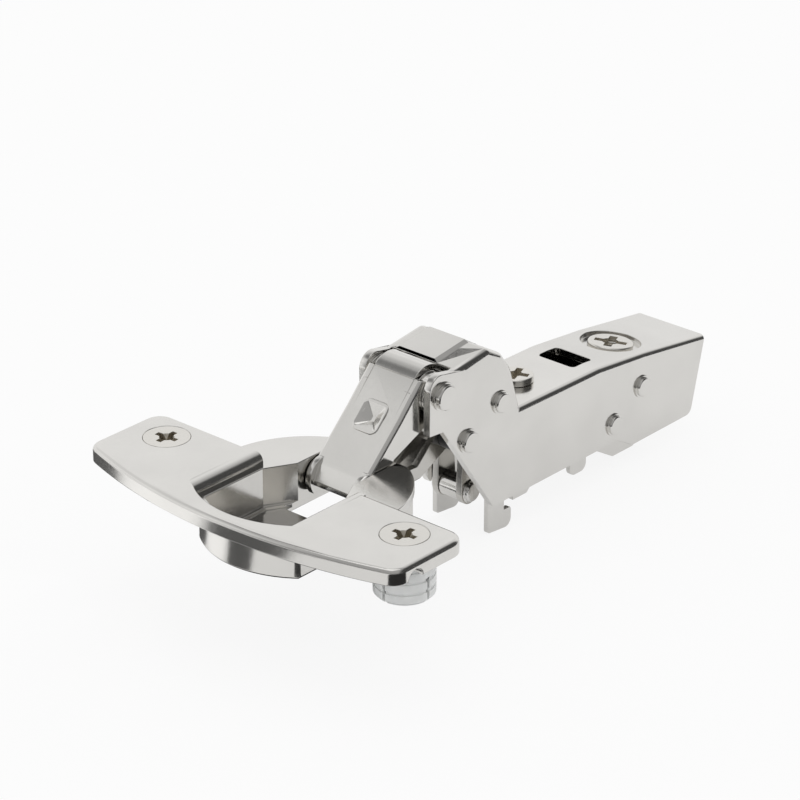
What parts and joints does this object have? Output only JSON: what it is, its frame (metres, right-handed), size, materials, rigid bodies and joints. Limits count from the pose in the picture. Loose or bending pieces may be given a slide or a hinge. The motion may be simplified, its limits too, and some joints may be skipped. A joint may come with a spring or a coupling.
{
  "type": "concealed cup hinge",
  "caption": "Concealed furniture hinge: 35 mm cup on a wide flange, folded outer link, hooked inner link, damped channel arm with adjusting screws, clip-on base",
  "frame": {"origin": "centre of the 35 mm cup on the top face of its flange", "axes": "+X along the arm away from the cup, +Y across the hinge, +Z out of the door's back"},
  "size_m": [0.119, 0.0674, 0.0365],
  "materials": {
    "hinge_cup": "satin nickel plate on a zinc casting",
    "cup_screws": "nickel-plated steel",
    "cup_dowels": "translucent white nylon",
    "cup_pin": "bright steel",
    "outer_link": "satin nickel plate",
    "link_washers": "nickel-plated steel",
    "link_axle": "riveted, nickel-plated",
    "spring_axle": "riveted, nickel-plated",
    "inner_link_axle": "riveted, nickel-plated",
    "inner_link": "satin nickel plate",
    "inner_cup_pin": "bright steel",
    "lever_pin": "nickel-plated steel",
    "axle_sleeves": "black acetal",
    "spring_sleeve": "natural acetal",
    "closing_spring": "spring steel wire",
    "hinge_arm": "satin nickel plate",
    "tilt_pin": "riveted, nickel-plated",
    "damper_pin": "riveted, nickel-plated",
    "damper_rod": "ground steel",
    "damper_piston": "filled nylon",
    "damper_cylinder": "grey acetal",
    "damper_gland": "black nylon",
    "damper_spring": "spring wire",
    "depth_slide": "zinc casting",
    "base_channel": "satin nickel plate",
    "depth_adjust_screw": "nickel-plated steel",
    "side_adjust_screw": "nickel-plated steel",
    "release_latch": "zinc casting",
    "latch_pin": "bright steel",
    "latch_spring": "spring wire"
  },
  "bodies": {
    "base": {"base_channel": "base_channel", "latch_pin": "latch_pin", "latch_spring": "latch_spring"},
    "slide": {"depth_slide": "depth_slide"},
    "arm": {"hinge_arm": "hinge_arm", "link_axle": "link_axle", "spring_axle": "spring_axle", "inner_link_axle": "inner_link_axle", "tilt_pin": "tilt_pin", "damper_pin": "damper_pin", "axle_sleeves": "axle_sleeves", "spring_sleeve": "spring_sleeve", "link_washers": "link_washers", "closing_spring": "closing_spring"},
    "outer_link": {"outer_link": "outer_link"},
    "cup": {"hinge_cup": "hinge_cup", "cup_screws": "cup_screws", "cup_dowels": "cup_dowels", "cup_pin": "cup_pin"},
    "inner_link": {"inner_link": "inner_link", "inner_cup_pin": "inner_cup_pin", "lever_pin": "lever_pin"},
    "damper_rod": {"damper_rod": "damper_rod", "damper_piston": "damper_piston"},
    "damper_cylinder": {"damper_cylinder": "damper_cylinder", "damper_gland": "damper_gland", "damper_spring": "damper_spring"},
    "depth_screw": {"depth_adjust_screw": "depth_adjust_screw"},
    "side_screw": {"side_adjust_screw": "side_adjust_screw"},
    "latch": {"release_latch": "release_latch"}
  },
  "joints": [
    {"name": "depth_shift", "type": "slide", "parent": "base", "child": "slide", "axis": [1, 0, 0], "range_m": [-0.0023, 0.0023]},
    {"name": "arm_tilt", "type": "hinge", "parent": "slide", "child": "arm", "pos_m": [0.0783, 0, -0.0099], "axis": [0, 1, 0], "range_deg": [-1.4, 1.4]},
    {"name": "outer_link_swing", "type": "hinge", "parent": "arm", "child": "outer_link", "pos_m": [0.0248, 0, 0.0071], "axis": [0, 1, 0], "range_deg": [-39.17, 2.18]},
    {"name": "cup_turn", "type": "hinge", "parent": "outer_link", "child": "cup", "pos_m": [0.0093, 0, -0.0056], "axis": [0, 1, 0], "range_deg": [-7.18, 129.17]},
    {"name": "inner_link_swing", "type": "hinge", "parent": "arm", "child": "inner_link", "pos_m": [0.0311, 0, -0.0033], "axis": [0, 1, 0], "range_deg": [-36.47, 2.03]},
    {"name": "damper_rod_swing", "type": "hinge", "parent": "inner_link", "child": "damper_rod", "pos_m": [0.0372, 0, -0.0164], "axis": [0, 1, 0], "range_deg": [-2.68, 48.21]},
    {"name": "damper_stroke", "type": "slide", "parent": "damper_rod", "child": "damper_cylinder", "axis": [0.9986, 0, 0.0538], "range_m": [-0.0065, 0.0004], "deforming": ["damper_spring"]},
    {"name": "depth_screw_turn", "type": "hinge", "parent": "arm", "child": "depth_screw", "pos_m": [0.079, 0, -0.00372], "axis": [0.122, 0, 0.9925], "range_deg": [-60, 60]},
    {"name": "side_screw_turn", "type": "hinge", "parent": "arm", "child": "side_screw", "pos_m": [0.0528, 0, -0.002], "axis": [0, 0, 1], "range_deg": [-280.5, 280.5]},
    {"name": "latch_swing", "type": "hinge", "parent": "base", "child": "latch", "pos_m": [0.087, 0, -0.0144], "axis": [0, 1, 0], "range_deg": [-15, 0], "stiffness_Nm_per_rad": 0.03, "springref_deg": 8.59, "deforming": ["latch_spring"]}
  ],
  "couplings": [
    {"joint": "outer_link_swing", "follows": "cup_turn", "ratio": -0.30323},
    {"joint": "inner_link_swing", "follows": "cup_turn", "ratio": -0.28233},
    {"joint": "damper_rod_swing", "follows": "cup_turn", "ratio": 0.37319},
    {"joint": "damper_stroke", "follows": "cup_turn", "m_per_rad": -0.0028379},
    {"joint": "depth_screw_turn", "follows": "depth_shift", "rad_per_m": 455.3},
    {"joint": "side_screw_turn", "follows": "arm_tilt", "ratio": -200}
  ]
}
